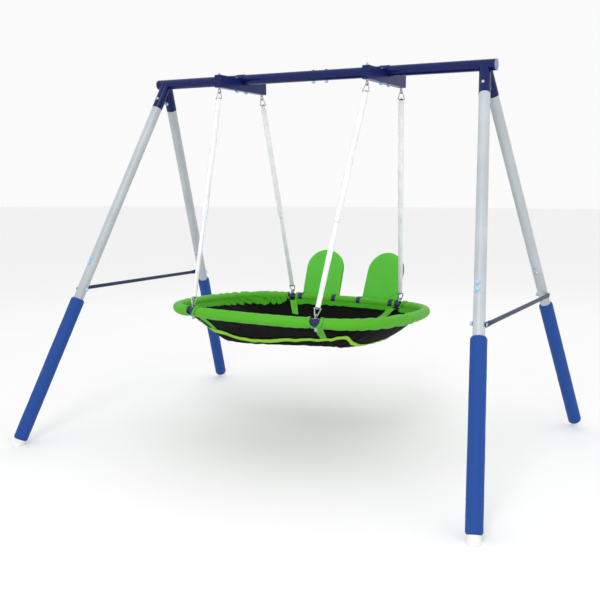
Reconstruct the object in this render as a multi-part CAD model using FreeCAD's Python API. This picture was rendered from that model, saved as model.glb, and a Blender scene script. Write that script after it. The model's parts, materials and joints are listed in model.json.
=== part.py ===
import FreeCAD, Part
import math
import os

# Swing set with one oval platform swing. All sizes are in millimetres.
# X runs along the top beam, Y runs from the front to the back, Z is up.
# The origin is on the ground, under the middle of the beam.

# Main frame
BEAM_HEIGHT = 1820.0
BEAM_END = 940.0
BEAM_RADIUS = 25.4
TUBE_WALL = 1.5
SWAGE_LENGTH = 118.0
APEX_X = 890.0
FOOT_X = 1190.0
FOOT_Y = 860.0

# Stations along a leg, measured down its axis from the beam's axis
LEG_RADIUS = 25.0
STUB_RADIUS = 26.6
STUB_END = 143.0
LEG_TOP = 66.0
STUB_BOLT = 97.0
JOINT_SHARE = 0.51
UPPER_END_SHARE = 0.525
BRACE_SHARE = 0.586
FOAM_TOP_SHARE = 0.612
JOINT_BOLT_STEP = 30.0
SWAGE_IN_LEG = 62.0
FOAM_RADIUS = 34.5
FOAM_GROUND_GAP = 30.0
CAP_RADIUS = 27.5
TUBE_FOOT_GAP = 18.0

# Fasteners
BOLT_RADIUS = 4.0
HOLE_RADIUS = 4.2
HEAD_RADIUS = 8.0
HEAD_HEIGHT = 4.5
NUT_FLATS = 13.0
NUT_HEIGHT = 6.5
NUT_CAP_RADIUS = 9.2
NUT_CAP_HEIGHT = 12.0
SEAT_GAP = 0.05
BEAM_BOLTS = (20.0, 92.0)

# Hanger arms across the beam
ARM_X = 405.0
ARM_HALF_LENGTH = 206.0
ARM_WIDTH = 35.0
ARM_TOP = 1824.0
ARM_HEIGHT = 60.0
ARM_WALL = 2.5
STRAP_WIDTH = 45.0
STRAP_THICKNESS = 2.5
STRAP_BOLT_Y = 40.0
STRAP_HALF_SPAN = 54.0
SADDLE_RADIUS = 25.5
EYE_Y = 190.0
EYE_RING = 10.0
EYE_WIRE = 3.0
EYE_DROP = 17.0

# Hangers: wire links, chain and plastic sleeves
LINK_WIRE = 2.6
LINK_NARROW = 7.0
LINK_WIDE = 17.0
LINK_HEIGHT = 33.0
LINK_SLACK = 0.3
CHAIN_WIRE = 2.5
CHAIN_END_RADIUS = 5.5
CHAIN_STRAIGHT = 16.0
CHAIN_MAX_PITCH = 21.7
UPPER_SLEEVE = (13.0, 11.2)
LOWER_SLEEVE = (11.0, 9.2)
SLEEVE_SHARE = 0.60
SLEEVE_OVERLAP = 40.0
SLEEVE_GAP = 4.0

# Seat: an oval rim of tangent arcs, tilted so that its front is higher
SEAT_HEIGHT = 669.0
SEAT_SHIFT_X = -33.0
SEAT_SHIFT_Y = -15.0
SEAT_TILT = -2.4
RIM_A = 600.0
RIM_B = 496.0
SIDE_RADIUS = 1800.0
END_RADIUS = 1000.0
CORNER_RADIUS = 280.0
RIM_TUBE = (16.0, 14.4)
RIM_FOAM = (22.4, 16.2)
RIM_COVER = (25.0, 22.6)
CLAMP_X = 339.0
CLAMP_RADII = (20.5, 16.55)
CLAMP_LENGTH = 47.0
COVER_GAP = 25.0
CLAMP_EYE_RISE = 34.0
LUG_THICKNESS = 5.0
OPEN_PIVOT_TRAVEL = 9.0

# Bowl: inner profile as (distance in from the rim axis, height)
BOWL_PROFILE = ((31.0, -8.0), (60.0, -34.0), (228.0, -142.0), (272.0, -152.0))
BOWL_THICKNESS = 3.0
WEB_FROM = 150.0
WEB_TO = 172.0
TAB_FROM = 62.0
TAB_TO = 146.0
TAB_HALF_WIDTH = 25.0
SKIN_GAP = 0.5
SKIN_THICKNESS = 1.8

# Backrests
BACK_CENTRE_X = 183.0
CLIP_SPACING = 205.0
CLIP_RADII = (28.5, 26.0)
CLIP_LENGTH = 22.0
PIN_OFFSET = 38.0
PIN_RADIUS = 3.0
EAR_THICKNESS = 6.0
EAR_RADIUS = 8.5
PAD_WIDTH = 225.0
PAD_LENGTH = 275.0
PAD_THICKNESS = 28.0
PAD_START = 14.0
PAD_SOFTNESS = 9.0
BACK_TUBE = 5.0
BACK_RECLINE = 20.0
BLOCK_WIDTH = 22.0

AXIS_X = FreeCAD.Vector(1, 0, 0)
AXIS_Y = FreeCAD.Vector(0, 1, 0)
AXIS_Z = FreeCAD.Vector(0, 0, 1)
SIDES = {"left": -1, "right": 1}
FACES = {"front": -1, "back": 1}
LEG_LENGTH = math.sqrt((FOOT_X - APEX_X) ** 2 + FOOT_Y ** 2 + BEAM_HEIGHT ** 2)


def vec(x, y, z):
    return FreeCAD.Vector(x, y, z)


def save(name, shapes):
    shape = shapes if isinstance(shapes, Part.Shape) else Part.makeCompound(shapes)
    shape.exportStep("parts/" + name + ".step")


def fuse(shapes):
    return shapes[0].multiFuse(shapes[1:]).removeSplitter()


def rod(start, end, radius):
    return Part.makeCylinder(radius, (end - start).Length, start, end - start)


def pipe(start, end, outer, inner):
    return rod(start, end, outer).cut(rod(start, end, inner))


def turned(shape, centre, axis, angle):
    copy = shape.copy()
    copy.rotate(centre, axis, angle)
    return copy


def placed(shape, placement):
    copy = shape.copy()
    copy.Placement = placement.multiply(copy.Placement)
    return copy


def box_between(low, high):
    size = high - low
    return Part.makeBox(size.x, size.y, size.z, low)


# Fasteners ------------------------------------------------------------------

def dome(base, direction, radius, height):
    ball = (radius ** 2 + height ** 2) / (2 * height)
    low = math.degrees(math.asin((ball - height) / ball))
    centre = base + direction * (height - ball)
    return Part.makeSphere(ball, centre, direction, low, 90, 360)


def hexagon(base, direction, flats, height):
    turn = FreeCAD.Rotation(AXIS_Z, direction)
    points = []
    for corner in range(7):
        angle = math.radians(60 * corner)
        reach = flats / math.sqrt(3)
        points.append(base + turn.multVec(vec(reach * math.cos(angle), reach * math.sin(angle), 0)))
    return Part.Face(Part.makePolygon(points)).extrude(direction * height)


class Fastener:
    """A domed bolt across a tube, its nut and the plastic cap over the nut."""

    def __init__(self, centre, direction, to_head, to_nut):
        head_base = centre - direction * (to_head + SEAT_GAP)
        nut_base = centre + direction * (to_nut + SEAT_GAP)
        tip = nut_base + direction * (NUT_HEIGHT + 1.5)
        self.line = rod(head_base, tip, HOLE_RADIUS)
        shank = rod(head_base, tip, BOLT_RADIUS)
        self.bolt = fuse([shank, dome(head_base, direction * -1, HEAD_RADIUS, HEAD_HEIGHT)])
        nut = hexagon(nut_base, direction, NUT_FLATS, NUT_HEIGHT)
        self.nut = nut.cut(rod(head_base, tip, BOLT_RADIUS + 0.02))
        skirt = nut_base + direction * (NUT_CAP_HEIGHT - 5)
        shell = fuse([rod(nut_base, skirt, NUT_CAP_RADIUS), dome(skirt, direction, NUT_CAP_RADIUS, 5)])
        room = rod(nut_base, nut_base + direction * (NUT_HEIGHT + 2.0), NUT_FLATS / math.sqrt(3) + 0.1)
        self.cap = shell.cut(room)


# Legs -----------------------------------------------------------------------

def leg_unit(side, face):
    run = vec(side * (FOOT_X - APEX_X), face * FOOT_Y, -BEAM_HEIGHT)
    return run * (1 / LEG_LENGTH)


def leg_point(side, face, distance):
    return vec(side * APEX_X, 0, BEAM_HEIGHT) + leg_unit(side, face) * distance


def outward(side, face):
    """Unit vector across the leg, in the plane of its A-frame, away from the other leg."""
    unit = leg_unit(side, face)
    across = AXIS_Y * face - unit * (AXIS_Y * face).dot(unit)
    return across.normalize()


def leg_fasteners(side, face):
    """The stub bolt, the two mid-leg bolts and the brace bolt of one leg."""
    out = outward(side, face)
    middle = JOINT_SHARE * LEG_LENGTH
    found = [Fastener(leg_point(side, face, STUB_BOLT), out * -1, STUB_RADIUS, STUB_RADIUS)]
    for step in (-0.5, 0.5):
        centre = leg_point(side, face, middle + step * JOINT_BOLT_STEP)
        found.append(Fastener(centre, out, LEG_RADIUS, LEG_RADIUS))
    centre = leg_point(side, face, BRACE_SHARE * LEG_LENGTH)
    found.append(Fastener(centre, AXIS_X * -side, BRACE_OUT, SIDE_REACH))
    return found


SIDE_REACH = LEG_RADIUS / math.sqrt(1 - ((FOOT_X - APEX_X) / LEG_LENGTH) ** 2) + 1.75
BRACE_THICKNESS = 4.0
BRACE_OUT = SIDE_REACH + BRACE_THICKNESS + 0.2
BRACE_RADIUS = 9.5


def upper_leg(side, face, holes):
    top = leg_point(side, face, LEG_TOP)
    low = leg_point(side, face, UPPER_END_SHARE * LEG_LENGTH)
    tube = pipe(top, low, LEG_RADIUS, LEG_RADIUS - TUBE_WALL)
    return tube.cut(holes)


def lower_leg(side, face, holes):
    shoulder = UPPER_END_SHARE * LEG_LENGTH + 0.5
    foot = leg_point(side, face, LEG_LENGTH - TUBE_FOOT_GAP)
    swage_top = leg_point(side, face, shoulder - SWAGE_IN_LEG)
    step = leg_point(side, face, shoulder)
    neck = LEG_RADIUS - TUBE_WALL - 0.1
    outer = fuse([rod(step, foot, LEG_RADIUS), rod(swage_top, step, neck)])
    bore = rod(swage_top, foot, neck - TUBE_WALL)
    return outer.cut(bore).cut(holes)


def foam_sleeve(side, face):
    top = leg_point(side, face, FOAM_TOP_SHARE * LEG_LENGTH)
    low = leg_point(side, face, LEG_LENGTH - FOAM_GROUND_GAP)
    return pipe(top, low, FOAM_RADIUS, LEG_RADIUS + 0.2)


def foot_cap(side, face):
    """A cap on the tube's end, cut level so that it stands flat on the ground."""
    rim = leg_point(side, face, LEG_LENGTH - FOAM_GROUND_GAP + 0.5)
    stop = leg_point(side, face, LEG_LENGTH - TUBE_FOOT_GAP + 0.1)
    below = leg_point(side, face, LEG_LENGTH + 2 * CAP_RADIUS)
    cap = rod(rim, below, CAP_RADIUS).cut(rod(rim, stop, LEG_RADIUS + 0.1))
    reach = 3 * CAP_RADIUS
    ground = leg_point(side, face, LEG_LENGTH) - vec(reach, reach, 2 * reach)
    return cap.cut(Part.makeBox(2 * reach, 2 * reach, 2 * reach, ground))


def brace(side, holes):
    """A tube between the legs of one A-frame, with its ends pressed flat."""
    middle = leg_point(side, 1, BRACE_SHARE * LEG_LENGTH)
    x = middle.x + side * (SIDE_REACH + BRACE_THICKNESS / 2 + 0.1)
    taper_end = middle.y - 75
    taper_start = middle.y - 30
    flat_half = 13.0
    tube_end = vec(x, taper_end, middle.z)
    tube = rod(vec(x, -taper_end, middle.z), tube_end, BRACE_RADIUS)
    pieces = [tube]
    for end in (-1, 1):
        circle = Part.Wire(Part.Circle(vec(x, end * taper_end, middle.z), AXIS_Y, BRACE_RADIUS).toShape())
        centre = vec(x, end * taper_start, middle.z)
        major = centre + AXIS_Z * flat_half
        minor = centre + AXIS_X * (BRACE_THICKNESS / 2)
        pressed = Part.Wire(Part.Ellipse(major, minor, centre).toShape())
        pieces.append(Part.makeLoft([circle, pressed], True))
        tip = middle.y
        low = vec(x - BRACE_THICKNESS / 2, min(end * taper_start, end * tip), middle.z - flat_half + 2)
        high = vec(x + BRACE_THICKNESS / 2, max(end * taper_start, end * tip), middle.z + flat_half - 2)
        pieces.append(box_between(low, high))
        face = vec(x - BRACE_THICKNESS / 2, end * tip, middle.z)
        pieces.append(Part.makeCylinder(flat_half - 2, BRACE_THICKNESS, face, AXIS_X))
    solid = fuse(pieces)
    bore = rod(vec(x, -taper_end, middle.z), tube_end, BRACE_RADIUS - TUBE_WALL)
    drain = Part.makeCylinder(2.5, 2 * BRACE_RADIUS, vec(x, 0, middle.z), AXIS_Z * -1)
    return solid.cut(bore).cut(drain).cut(holes)


def main_legs(fasteners):
    for side_name, side in SIDES.items():
        brace_holes = []
        for face_name, face in FACES.items():
            name = face_name + "_" + side_name
            found = leg_fasteners(side, face)
            fasteners.extend(found)
            lines = Part.makeCompound([item.line for item in found])
            brace_holes.append(found[-1].line)
            save("upper_leg_" + name, upper_leg(side, face, lines))
            save("lower_leg_" + name, lower_leg(side, face, lines))
            save("foam_sleeve_" + name, foam_sleeve(side, face))
            save("foot_cap_" + name, foot_cap(side, face))
        save("leg_brace_" + side_name, brace(side, Part.makeCompound(brace_holes)))


# Beam -----------------------------------------------------------------------

def beam_half(side, holes):
    """One half of the beam with the two leg stubs welded to its end."""
    apex = vec(side * APEX_X, 0, BEAM_HEIGHT)
    end = vec(side * BEAM_END, 0, BEAM_HEIGHT)
    middle = vec(0.5 if side > 0 else 0, 0, BEAM_HEIGHT)
    neck = BEAM_RADIUS - TUBE_WALL - 0.1
    bore_radius = BEAM_RADIUS - TUBE_WALL if side > 0 else neck - TUBE_WALL
    outer = [rod(middle, end, BEAM_RADIUS)]
    inside_from = middle
    if side < 0:
        inside_from = vec(SWAGE_LENGTH, 0, BEAM_HEIGHT)
        outer.append(rod(middle, inside_from, neck))
    for face in FACES.values():
        outer.append(rod(apex, leg_point(side, face, STUB_END), STUB_RADIUS))
    solid = fuse(outer)
    solid = solid.cut(rod(inside_from, end, bore_radius))
    for face in FACES.values():
        start = leg_point(side, face, LEG_TOP - 1)
        solid = solid.cut(rod(start, leg_point(side, face, STUB_END), LEG_RADIUS + 0.1))
    return solid.cut(holes)


def end_plug(side):
    """A plastic plug in the open end of the beam, with a domed face."""
    mouth = vec(side * (BEAM_END + 0.1), 0, BEAM_HEIGHT)
    face = vec(side * (BEAM_END + 3), 0, BEAM_HEIGHT)
    neck = BEAM_RADIUS - TUBE_WALL - 0.1 - TUBE_WALL - 0.1
    inner = vec(side * (BEAM_END - 18), 0, BEAM_HEIGHT)
    parts = [rod(inner, mouth, neck), rod(mouth, face, BEAM_RADIUS)]
    parts.append(dome(face, AXIS_X * side, BEAM_RADIUS, 3))
    return fuse(parts)


def main_beam(fasteners):
    beam_lines = []
    bolts = []
    for x in BEAM_BOLTS:
        found = Fastener(vec(x, 0, BEAM_HEIGHT), AXIS_Z * -1, BEAM_RADIUS, BEAM_RADIUS)
        beam_lines.append(found.line)
        bolts.append(found)
    stub_lines = [item.line for item in fasteners[::4]]
    holes = Part.makeCompound(beam_lines + stub_lines)
    for side_name, side in SIDES.items():
        save("top_beam_" + side_name, beam_half(side, holes))
    save("beam_end_plugs", [end_plug(side) for side in SIDES.values()])
    save("beam_bolts", [item.bolt for item in bolts])
    return bolts


# Hanger arms ----------------------------------------------------------------

def hanger_arm(x, holes):
    """A box arm that crosses under the beam, notched to fit its lower half."""
    half = ARM_WIDTH / 2
    low = vec(x - half, -ARM_HALF_LENGTH, ARM_TOP - ARM_HEIGHT)
    high = vec(x + half, ARM_HALF_LENGTH, ARM_TOP)
    wall = vec(ARM_WALL, ARM_WALL, ARM_WALL)
    shell = box_between(low, high).cut(box_between(low + wall, high - wall))
    notch = rod(vec(x - half, 0, BEAM_HEIGHT), vec(x + half, 0, BEAM_HEIGHT), SADDLE_RADIUS)
    return shell.cut(notch).cut(holes)


def hanger_strap(x, holes):
    """A formed strap over the beam, with a flange on each side."""
    half = STRAP_WIDTH / 2
    left = vec(x - half, 0, BEAM_HEIGHT)
    right = vec(x + half, 0, BEAM_HEIGHT)
    flange_low = ARM_TOP + SEAT_GAP
    ring = rod(left, right, SADDLE_RADIUS + STRAP_THICKNESS)
    flange = box_between(vec(x - half, -STRAP_HALF_SPAN, flange_low),
                         vec(x + half, STRAP_HALF_SPAN, flange_low + STRAP_THICKNESS))
    below = box_between(vec(x - half, -STRAP_HALF_SPAN, flange_low - 100),
                        vec(x + half, STRAP_HALF_SPAN, flange_low))
    solid = fuse([ring, flange]).cut(below).cut(rod(left, right, SADDLE_RADIUS))
    return solid.cut(holes)


def eye_bolt(x, y):
    """A bolt with a ring under the arm. The ring stands in the Y-Z plane."""
    arm_low = ARM_TOP - ARM_HEIGHT
    centre = vec(x, y, arm_low - EYE_DROP)
    shank = rod(centre + AXIS_Z * (EYE_RING - 1), vec(x, y, ARM_TOP + NUT_HEIGHT + 5), BOLT_RADIUS - 0.5)
    collar = Part.makeCylinder(HEAD_RADIUS, 3, vec(x, y, arm_low - 3 - SEAT_GAP), AXIS_Z)
    ring = Part.makeTorus(EYE_RING, EYE_WIRE, centre, AXIS_X)
    return fuse([ring, shank, collar])


def hook_point(x, y):
    """Centre of the link's narrow bar, where it hangs in the eye bolt's ring."""
    ring_low = ARM_TOP - ARM_HEIGHT - EYE_DROP - EYE_RING
    return vec(x, y, ring_low + EYE_WIRE + LINK_WIRE + LINK_SLACK)


def main_arms():
    bolts = []
    straps = []
    eyes = []
    nuts = []
    for side_name, side in SIDES.items():
        x = side * ARM_X
        head = ARM_TOP + STRAP_THICKNESS + SEAT_GAP
        middle = ARM_TOP - ARM_HEIGHT / 2
        lines = []
        for y in (-STRAP_BOLT_Y, STRAP_BOLT_Y):
            found = Fastener(vec(x, y, middle), AXIS_Z * -1, head - middle, ARM_HEIGHT / 2)
            bolts.append(found)
            lines.append(found.line)
        for y in (-EYE_Y, EYE_Y):
            eye = eye_bolt(x, y)
            eyes.append(eye)
            shank = Part.makeCylinder(BOLT_RADIUS - 0.3, 2 * ARM_HEIGHT, vec(x, y, ARM_TOP - 1.2 * ARM_HEIGHT), AXIS_Z)
            lines.append(shank)
            nut = hexagon(vec(x, y, ARM_TOP + SEAT_GAP), AXIS_Z, NUT_FLATS, NUT_HEIGHT)
            nuts.append(nut.cut(Part.makeCylinder(BOLT_RADIUS - 0.48, 200, vec(x, y, ARM_TOP - 100), AXIS_Z)))
        holes = Part.makeCompound(lines)
        save("hanger_arm_" + side_name, hanger_arm(x, holes))
        straps.append(hanger_strap(x, holes))
    save("hanger_straps", straps)
    save("strap_bolts", [item.bolt for item in bolts])
    save("hanger_eye_bolts", eyes)
    return bolts, nuts


# Hangers --------------------------------------------------------------------

def seat_placement():
    base = vec(SEAT_SHIFT_X, SEAT_SHIFT_Y, SEAT_HEIGHT)
    return FreeCAD.Placement(base, FreeCAD.Rotation(AXIS_X, SEAT_TILT))


def rim_y(x):
    """Distance of the rim's axis from the middle, on the long side."""
    return RIM_B - SIDE_RADIUS + math.sqrt(SIDE_RADIUS ** 2 - x ** 2)


def clamp_point(side, face):
    return seat_placement().multVec(vec(side * CLAMP_X, face * rim_y(CLAMP_X), CLAMP_EYE_RISE))


def wire_link(narrow_z, wide_z, level):
    """A wire link. Its narrow bar lies along level, its wide bar across the hanger."""
    corners = [vec(0, 0, narrow_z) - level * LINK_NARROW, vec(0, 0, narrow_z) + level * LINK_NARROW]
    corners += [vec(LINK_WIDE, 0, wide_z), vec(-LINK_WIDE, 0, wide_z)]
    pieces = []
    for index, corner in enumerate(corners):
        pieces.append(rod(corner, corners[(index + 1) % 4], LINK_WIRE))
        pieces.append(Part.makeSphere(LINK_WIRE, corner))
    return fuse(pieces)


def chain_link():
    """One link in the X-Z plane, centred on the origin."""
    half = CHAIN_STRAIGHT / 2
    top = Part.makeTorus(CHAIN_END_RADIUS, CHAIN_WIRE, vec(0, 0, half), AXIS_Y, -180, 180, 180)
    top = turned(top, vec(0, 0, half), AXIS_Y, 180)
    low = Part.makeTorus(CHAIN_END_RADIUS, CHAIN_WIRE, vec(0, 0, -half), AXIS_Y, -180, 180, 180)
    if top.BoundBox.ZMin < 0:
        top, low = turned(top, vec(0, 0, half), AXIS_Y, 180), turned(low, vec(0, 0, -half), AXIS_Y, 180)
    pieces = [top, low]
    for x in (-CHAIN_END_RADIUS, CHAIN_END_RADIUS):
        pieces.append(rod(vec(x, 0, -half), vec(x, 0, half), CHAIN_WIRE))
    return fuse(pieces)


def chain(link, length):
    """Chain links from the upper wire link's wide bar to the lower one's."""
    hook = LINK_WIRE + CHAIN_WIRE + 0.2
    first_end = -LINK_HEIGHT + hook
    last_end = -length + LINK_HEIGHT - hook
    size = CHAIN_STRAIGHT + 2 * CHAIN_END_RADIUS
    steps = math.ceil((first_end - last_end - size) / CHAIN_MAX_PITCH)
    steps += steps % 2
    pitch = (first_end - last_end - size) / steps
    links = []
    for index in range(steps + 1):
        piece = link.copy()
        if index % 2 == 0:
            piece.rotate(vec(0, 0, 0), AXIS_Z, 90)
        piece.translate(vec(0, 0, first_end - size / 2 - index * pitch))
        links.append(piece)
    return links


def sleeves(length):
    """A wide upper sleeve that laps over a narrower lower one."""
    top = -LINK_HEIGHT - SLEEVE_GAP
    low = -length + LINK_HEIGHT + SLEEVE_GAP
    lap = -length * SLEEVE_SHARE
    upper = pipe(vec(0, 0, top), vec(0, 0, lap), UPPER_SLEEVE[0], UPPER_SLEEVE[1])
    lower = pipe(vec(0, 0, lap + SLEEVE_OVERLAP), vec(0, 0, low), LOWER_SLEEVE[0], LOWER_SLEEVE[1])
    return [upper, lower]


def main_hangers():
    link = chain_link()
    for face_name, face in FACES.items():
        groups = {"top_links": [], "chains": [], "chain_sleeves": [], "bottom_links": []}
        for side in SIDES.values():
            top = hook_point(side * ARM_X, face * EYE_Y)
            low = clamp_point(side, face)
            length = (top - low).Length
            turn = FreeCAD.Rotation(AXIS_X, vec(0, 0, 0), top - low, "ZXY")
            place = FreeCAD.Placement(top, turn)
            level = turn.inverted().multVec(AXIS_X)
            groups["top_links"].append(placed(wire_link(0, -LINK_HEIGHT, level), place))
            bottom = wire_link(-length, LINK_HEIGHT - length, level)
            groups["bottom_links"].append(placed(bottom, place))
            groups["chains"].extend([placed(piece, place) for piece in chain(link, length)])
            groups["chain_sleeves"].extend([placed(piece, place) for piece in sleeves(length)])
            print(face_name, "hook", top, "clamp", low, "length", round(length, 1))
        for group_name, shapes in groups.items():
            save(face_name + "_" + group_name, shapes)


# Seat rim -------------------------------------------------------------------

def corner_centre():
    """Centre of the first-quadrant corner arc, tangent inside the side and end arcs."""
    side_y = RIM_B - SIDE_RADIUS
    end_x = RIM_A - END_RADIUS
    reach_side = SIDE_RADIUS - CORNER_RADIUS
    reach_end = END_RADIUS - CORNER_RADIUS
    gap = math.hypot(end_x, side_y)
    along = (reach_side ** 2 - reach_end ** 2 + gap ** 2) / (2 * gap)
    off = math.sqrt(reach_side ** 2 - along ** 2)
    ux = end_x / gap
    uy = -side_y / gap
    return along * ux + off * uy, side_y + along * uy - off * ux


CORNER_X, CORNER_Y = corner_centre()
SIDE_HALF = math.degrees(math.atan2(CORNER_X, CORNER_Y - (RIM_B - SIDE_RADIUS)))
END_HALF = math.degrees(math.atan2(CORNER_Y, CORNER_X - (RIM_A - END_RADIUS)))
CLAMP_ANGLE = math.degrees(math.asin(CLAMP_X / SIDE_RADIUS))


def side_arc(face, half):
    """Arc on a long side: centre x, centre y, radius, start angle, sweep."""
    return 0, face * (RIM_B - SIDE_RADIUS), SIDE_RADIUS, face * 90 - half, 2 * half


def end_arc(side):
    start = -END_HALF if side > 0 else 180 - END_HALF
    return side * (RIM_A - END_RADIUS), 0, END_RADIUS, start, 2 * END_HALF


def corner_arc(side, face, shorter=0):
    """A corner arc, shortened at its long-side end by an angle."""
    sweep = 90 - SIDE_HALF - END_HALF - shorter
    start = END_HALF if side * face > 0 else SIDE_HALF + shorter
    quarter = {(1, 1): 0, (-1, 1): 90, (-1, -1): 180, (1, -1): 270}[(side, face)]
    return side * CORNER_X, face * CORNER_Y, CORNER_RADIUS, quarter + start, sweep


def rim_arcs():
    arcs = []
    for face in FACES.values():
        arcs.append(side_arc(face, SIDE_HALF))
    for side in SIDES.values():
        arcs.append(end_arc(side))
        for face in FACES.values():
            arcs.append(corner_arc(side, face))
    return arcs


def bar_on_arc(arc, bar_radius):
    """A round bar along one arc."""
    x, y, radius, start, sweep = arc
    centre = vec(x, y, 0)
    circle = Part.Circle(centre + AXIS_X * radius, AXIS_Y, bar_radius)
    section = Part.Face(Part.Wire(circle.toShape()))
    return turned(section.revolve(centre, AXIS_Z, sweep), centre, AXIS_Z, start)


def tube_on_arc(arc, radii):
    return bar_on_arc(arc, radii[0]).cut(bar_on_arc(arc, radii[1]))


def cover_arcs():
    """The rim between the clamps, as four runs of arcs."""
    gap_angle = math.degrees(COVER_GAP / SIDE_RADIUS)
    spill = COVER_GAP - math.radians(SIDE_HALF - CLAMP_ANGLE) * SIDE_RADIUS
    shorter = math.degrees(spill / CORNER_RADIUS)
    runs = {}
    for face_name, face in FACES.items():
        runs[face_name] = [side_arc(face, CLAMP_ANGLE - gap_angle)]
    for side_name, side in SIDES.items():
        corners = [corner_arc(side, face, shorter) for face in FACES.values()]
        runs[side_name] = [corners[0], end_arc(side), corners[1]]
    return runs


def strip_on_arc(arc, profile):
    """Turn a closed profile of (distance in, height) points along one arc."""
    x, y, radius, start, sweep = arc
    points = [vec(x + radius - inset, y, height) for inset, height in profile]
    face = Part.Face(Part.makePolygon(points + points[:1]))
    strip = face.revolve(vec(x, y, 0), AXIS_Z, sweep)
    return turned(strip, vec(x, y, 0), AXIS_Z, start)


def bowl_height(inset):
    """Height of the bowl's inner face at a distance in from the rim axis."""
    for (d0, z0), (d1, z1) in zip(BOWL_PROFILE, BOWL_PROFILE[1:]):
        if d0 <= inset <= d1:
            return z0 + (z1 - z0) * (inset - d0) / (d1 - d0)
    raise ValueError("inset is off the bowl")


def bowl():
    lower = [(inset, height - BOWL_THICKNESS) for inset, height in reversed(BOWL_PROFILE)]
    profile = list(BOWL_PROFILE) + lower
    walls = [strip_on_arc(arc, profile) for arc in rim_arcs()]
    inset, height = BOWL_PROFILE[-1]
    edges = []
    for x, y, radius, start, sweep in rim_arcs():
        circle = Part.Circle(vec(x, y, height - BOWL_THICKNESS), AXIS_Z, radius - inset)
        edges.append(circle.toShape(math.radians(start % 360), math.radians(start % 360 + sweep)))
    outline = Part.Wire(Part.__sortEdges__(edges))
    floor = Part.Face(outline).extrude(AXIS_Z * BOWL_THICKNESS)
    return fuse(walls + [floor])


def skin_profile(inset_from, inset_to, above):
    """A thin strip just above or just below the bowl's wall."""
    base = SKIN_GAP if above else -BOWL_THICKNESS - SKIN_GAP - SKIN_THICKNESS
    profile = []
    for inset, lift in ((inset_from, 0), (inset_to, 0), (inset_to, 1), (inset_from, 1)):
        profile.append((inset, bowl_height(inset) + base + lift * SKIN_THICKNESS))
    return profile


def seat_tabs():
    """A strap end inside the bowl and one outside it, at each clamp."""
    half = math.degrees(TAB_HALF_WIDTH / SIDE_RADIUS)
    tabs = []
    for face in FACES.values():
        for side in SIDES.values():
            middle = face * 90 - side * face * CLAMP_ANGLE
            arc = (0, face * (RIM_B - SIDE_RADIUS), SIDE_RADIUS, middle - half, 2 * half)
            for above in (True, False):
                tabs.append(strip_on_arc(arc, skin_profile(TAB_FROM, TAB_TO, above)))
    return tabs


def rim_frame(side, face):
    """Placement on the rim at a clamp, with local X along the rim."""
    turn = FreeCAD.Rotation(AXIS_Z, -side * face * CLAMP_ANGLE)
    return FreeCAD.Placement(vec(side * CLAMP_X, face * rim_y(CLAMP_X), 0), turn)


def clamp_bolt_line(radius):
    low = -CLAMP_RADII[0] - 20
    return Part.makeCylinder(radius, CLAMP_RADII[0] - low + 4, vec(0, 0, low), AXIS_Z)


def rim_clamp():
    half = CLAMP_LENGTH / 2
    band = pipe(vec(-half, 0, 0), vec(half, 0, 0), CLAMP_RADII[0], CLAMP_RADII[1])
    return band.cut(clamp_bolt_line(HOLE_RADIUS))


def clamp_eye(face):
    """A lug bolt down through the clamp. The back lug's hole is a slot."""
    top = CLAMP_RADII[0]
    base = Part.makeCylinder(HEAD_RADIUS, 3, vec(0, 0, top + SEAT_GAP), AXIS_Z)
    shank = rod(vec(0, 0, top + 1), vec(0, 0, -top - 17), BOLT_RADIUS)
    half = LUG_THICKNESS / 2
    travel = OPEN_PIVOT_TRAVEL if face > 0 else 0
    low = vec(-half, -9 - travel, top + 2)
    high = vec(half, 9, CLAMP_EYE_RISE + 7.5)
    lug = box_between(low, high)
    edges = [edge for edge in lug.Edges if abs(edge.tangentAt(edge.FirstParameter).x) > 0.9]
    tops = [edge for edge in edges if edge.BoundBox.ZMin > high.z - 1]
    lug = lug.makeFillet(5, tops)
    room = LINK_WIRE + LINK_SLACK + 0.6
    slot = box_between(vec(-half, -travel, CLAMP_EYE_RISE - room - 0.8),
                       vec(half, 0.01, CLAMP_EYE_RISE + room))
    ends = []
    for y in (-travel, 0):
        ends.append(Part.makeCylinder(room + 0.4, 2 * half, vec(-half, y, CLAMP_EYE_RISE - 0.4), AXIS_X))
    return fuse([base, shank, lug]).cut(Part.makeCompound(ends)).cut(slot)


def clamp_nut():
    nut = hexagon(vec(0, 0, -CLAMP_RADII[0] - SEAT_GAP), AXIS_Z * -1, NUT_FLATS, 15)
    return nut.cut(clamp_bolt_line(BOLT_RADIUS + 0.02))


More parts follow.
